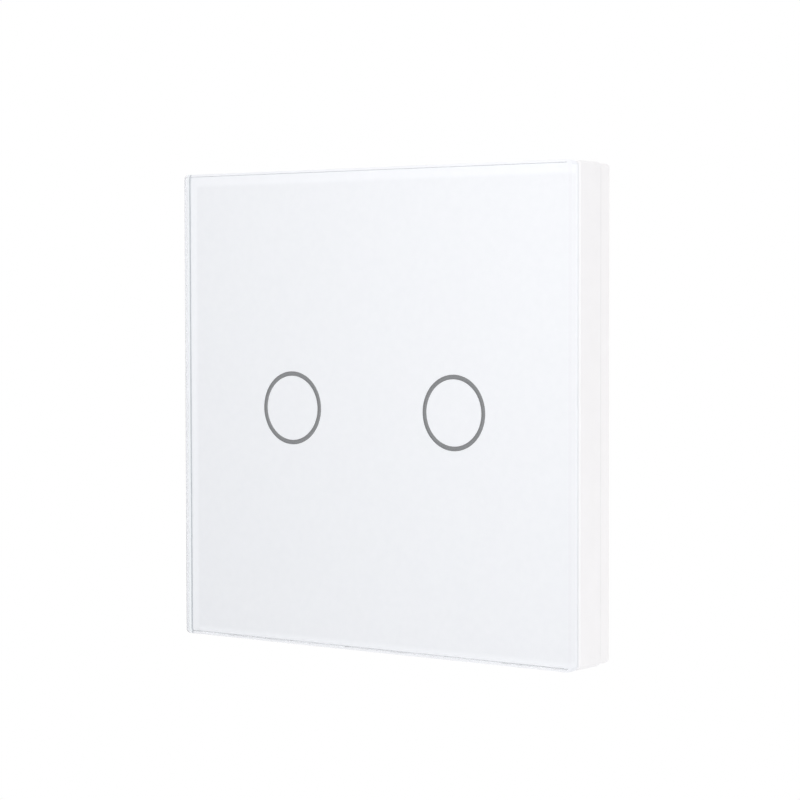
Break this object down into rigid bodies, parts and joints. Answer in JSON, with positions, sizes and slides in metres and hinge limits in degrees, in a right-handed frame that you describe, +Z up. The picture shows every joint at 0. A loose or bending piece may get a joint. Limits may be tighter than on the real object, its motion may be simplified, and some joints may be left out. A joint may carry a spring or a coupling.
{
  "type": "wireless light switch",
  "caption": "Flat square wireless light switch for a wall: a white glass touch front with ring marks on a slim housing that clips to a wall plate.",
  "frame": {"origin": "centre of the wall plate's back face, where the switch meets the wall", "axes": "+Y points into the wall, so the glass faces -Y; +Z is up and +X is to the right for someone who faces the switch"},
  "size_m": [0.086, 0.0128, 0.086],
  "materials": {
    "clear_glass": "polished, with ground and polished edges",
    "white_ink": "screen-printed ceramic white, slightly cool",
    "grey_ink": "screen-printed mid grey",
    "white_plastic": "satin moulded white",
    "tape": "thin white foam tape",
    "foam": "grey foam tape",
    "clear_plastic": "clear moulded",
    "spring_steel": "nickel-plated wire",
    "lamp": "clear resin over a pale phosphor",
    "board_green": "solder mask over glass cloth",
    "copper_wire": "enamelled copper",
    "black_resin": "moulded black resin",
    "steel_can": "nickel-plated",
    "tan_ceramic": "fired ceramic with tinned ends",
    "black_film": "resistive film with tinned ends",
    "zinc_steel": "zinc-plated",
    "grey_plastic": "moulded grey",
    "plated_contact": "gold-flashed",
    "gasket_nylon": "nylon"
  },
  "bodies": {
    "wall_base": {"wall_plate": "white_plastic", "foam_tape_pads": "foam"},
    "switch_module": {"glass_panel": "clear_glass", "white_backprint": "white_ink", "touch_ring_prints": "grey_ink", "glass_tape_frame": "tape", "front_housing": "white_plastic", "light_guide_left": "clear_plastic", "light_guide_right": "clear_plastic", "touch_spring_left": "spring_steel", "touch_spring_right": "spring_steel", "indicator_leds": "lamp", "circuit_board": "board_green", "antenna_coil": "copper_wire", "touch_controller_chip": "black_resin", "radio_chip": "black_resin", "crystal_can": "steel_can", "chip_capacitors": "tan_ceramic", "chip_resistors": "black_film", "board_screws": "zinc_steel", "pairing_switch_base": "black_resin", "pairing_switch_dome": "steel_can", "negative_contact": "plated_contact", "battery_clip": "spring_steel", "rear_cover": "white_plastic", "cover_screws": "zinc_steel"},
    "pairing_plunger": {"pairing_button": "grey_plastic"},
    "coin_cell": {"coin_cell_can": "steel_can", "coin_cell_gasket": "gasket_nylon", "coin_cell_cap": "steel_can"}
  },
  "joints": [
    {"name": "module_release", "type": "slide", "parent": "wall_base", "child": "switch_module", "axis": [0, -1, 0], "range_m": [0, 0.03]},
    {"name": "pairing_press", "type": "slide", "parent": "switch_module", "child": "pairing_plunger", "axis": [0, -1, 0], "range_m": [0, 0.00025], "stiffness_N_per_m": 6000},
    {"name": "cell_slide", "type": "slide", "parent": "switch_module", "child": "coin_cell", "axis": [1, 0, 0], "range_m": [0, 0.017]}
  ]
}
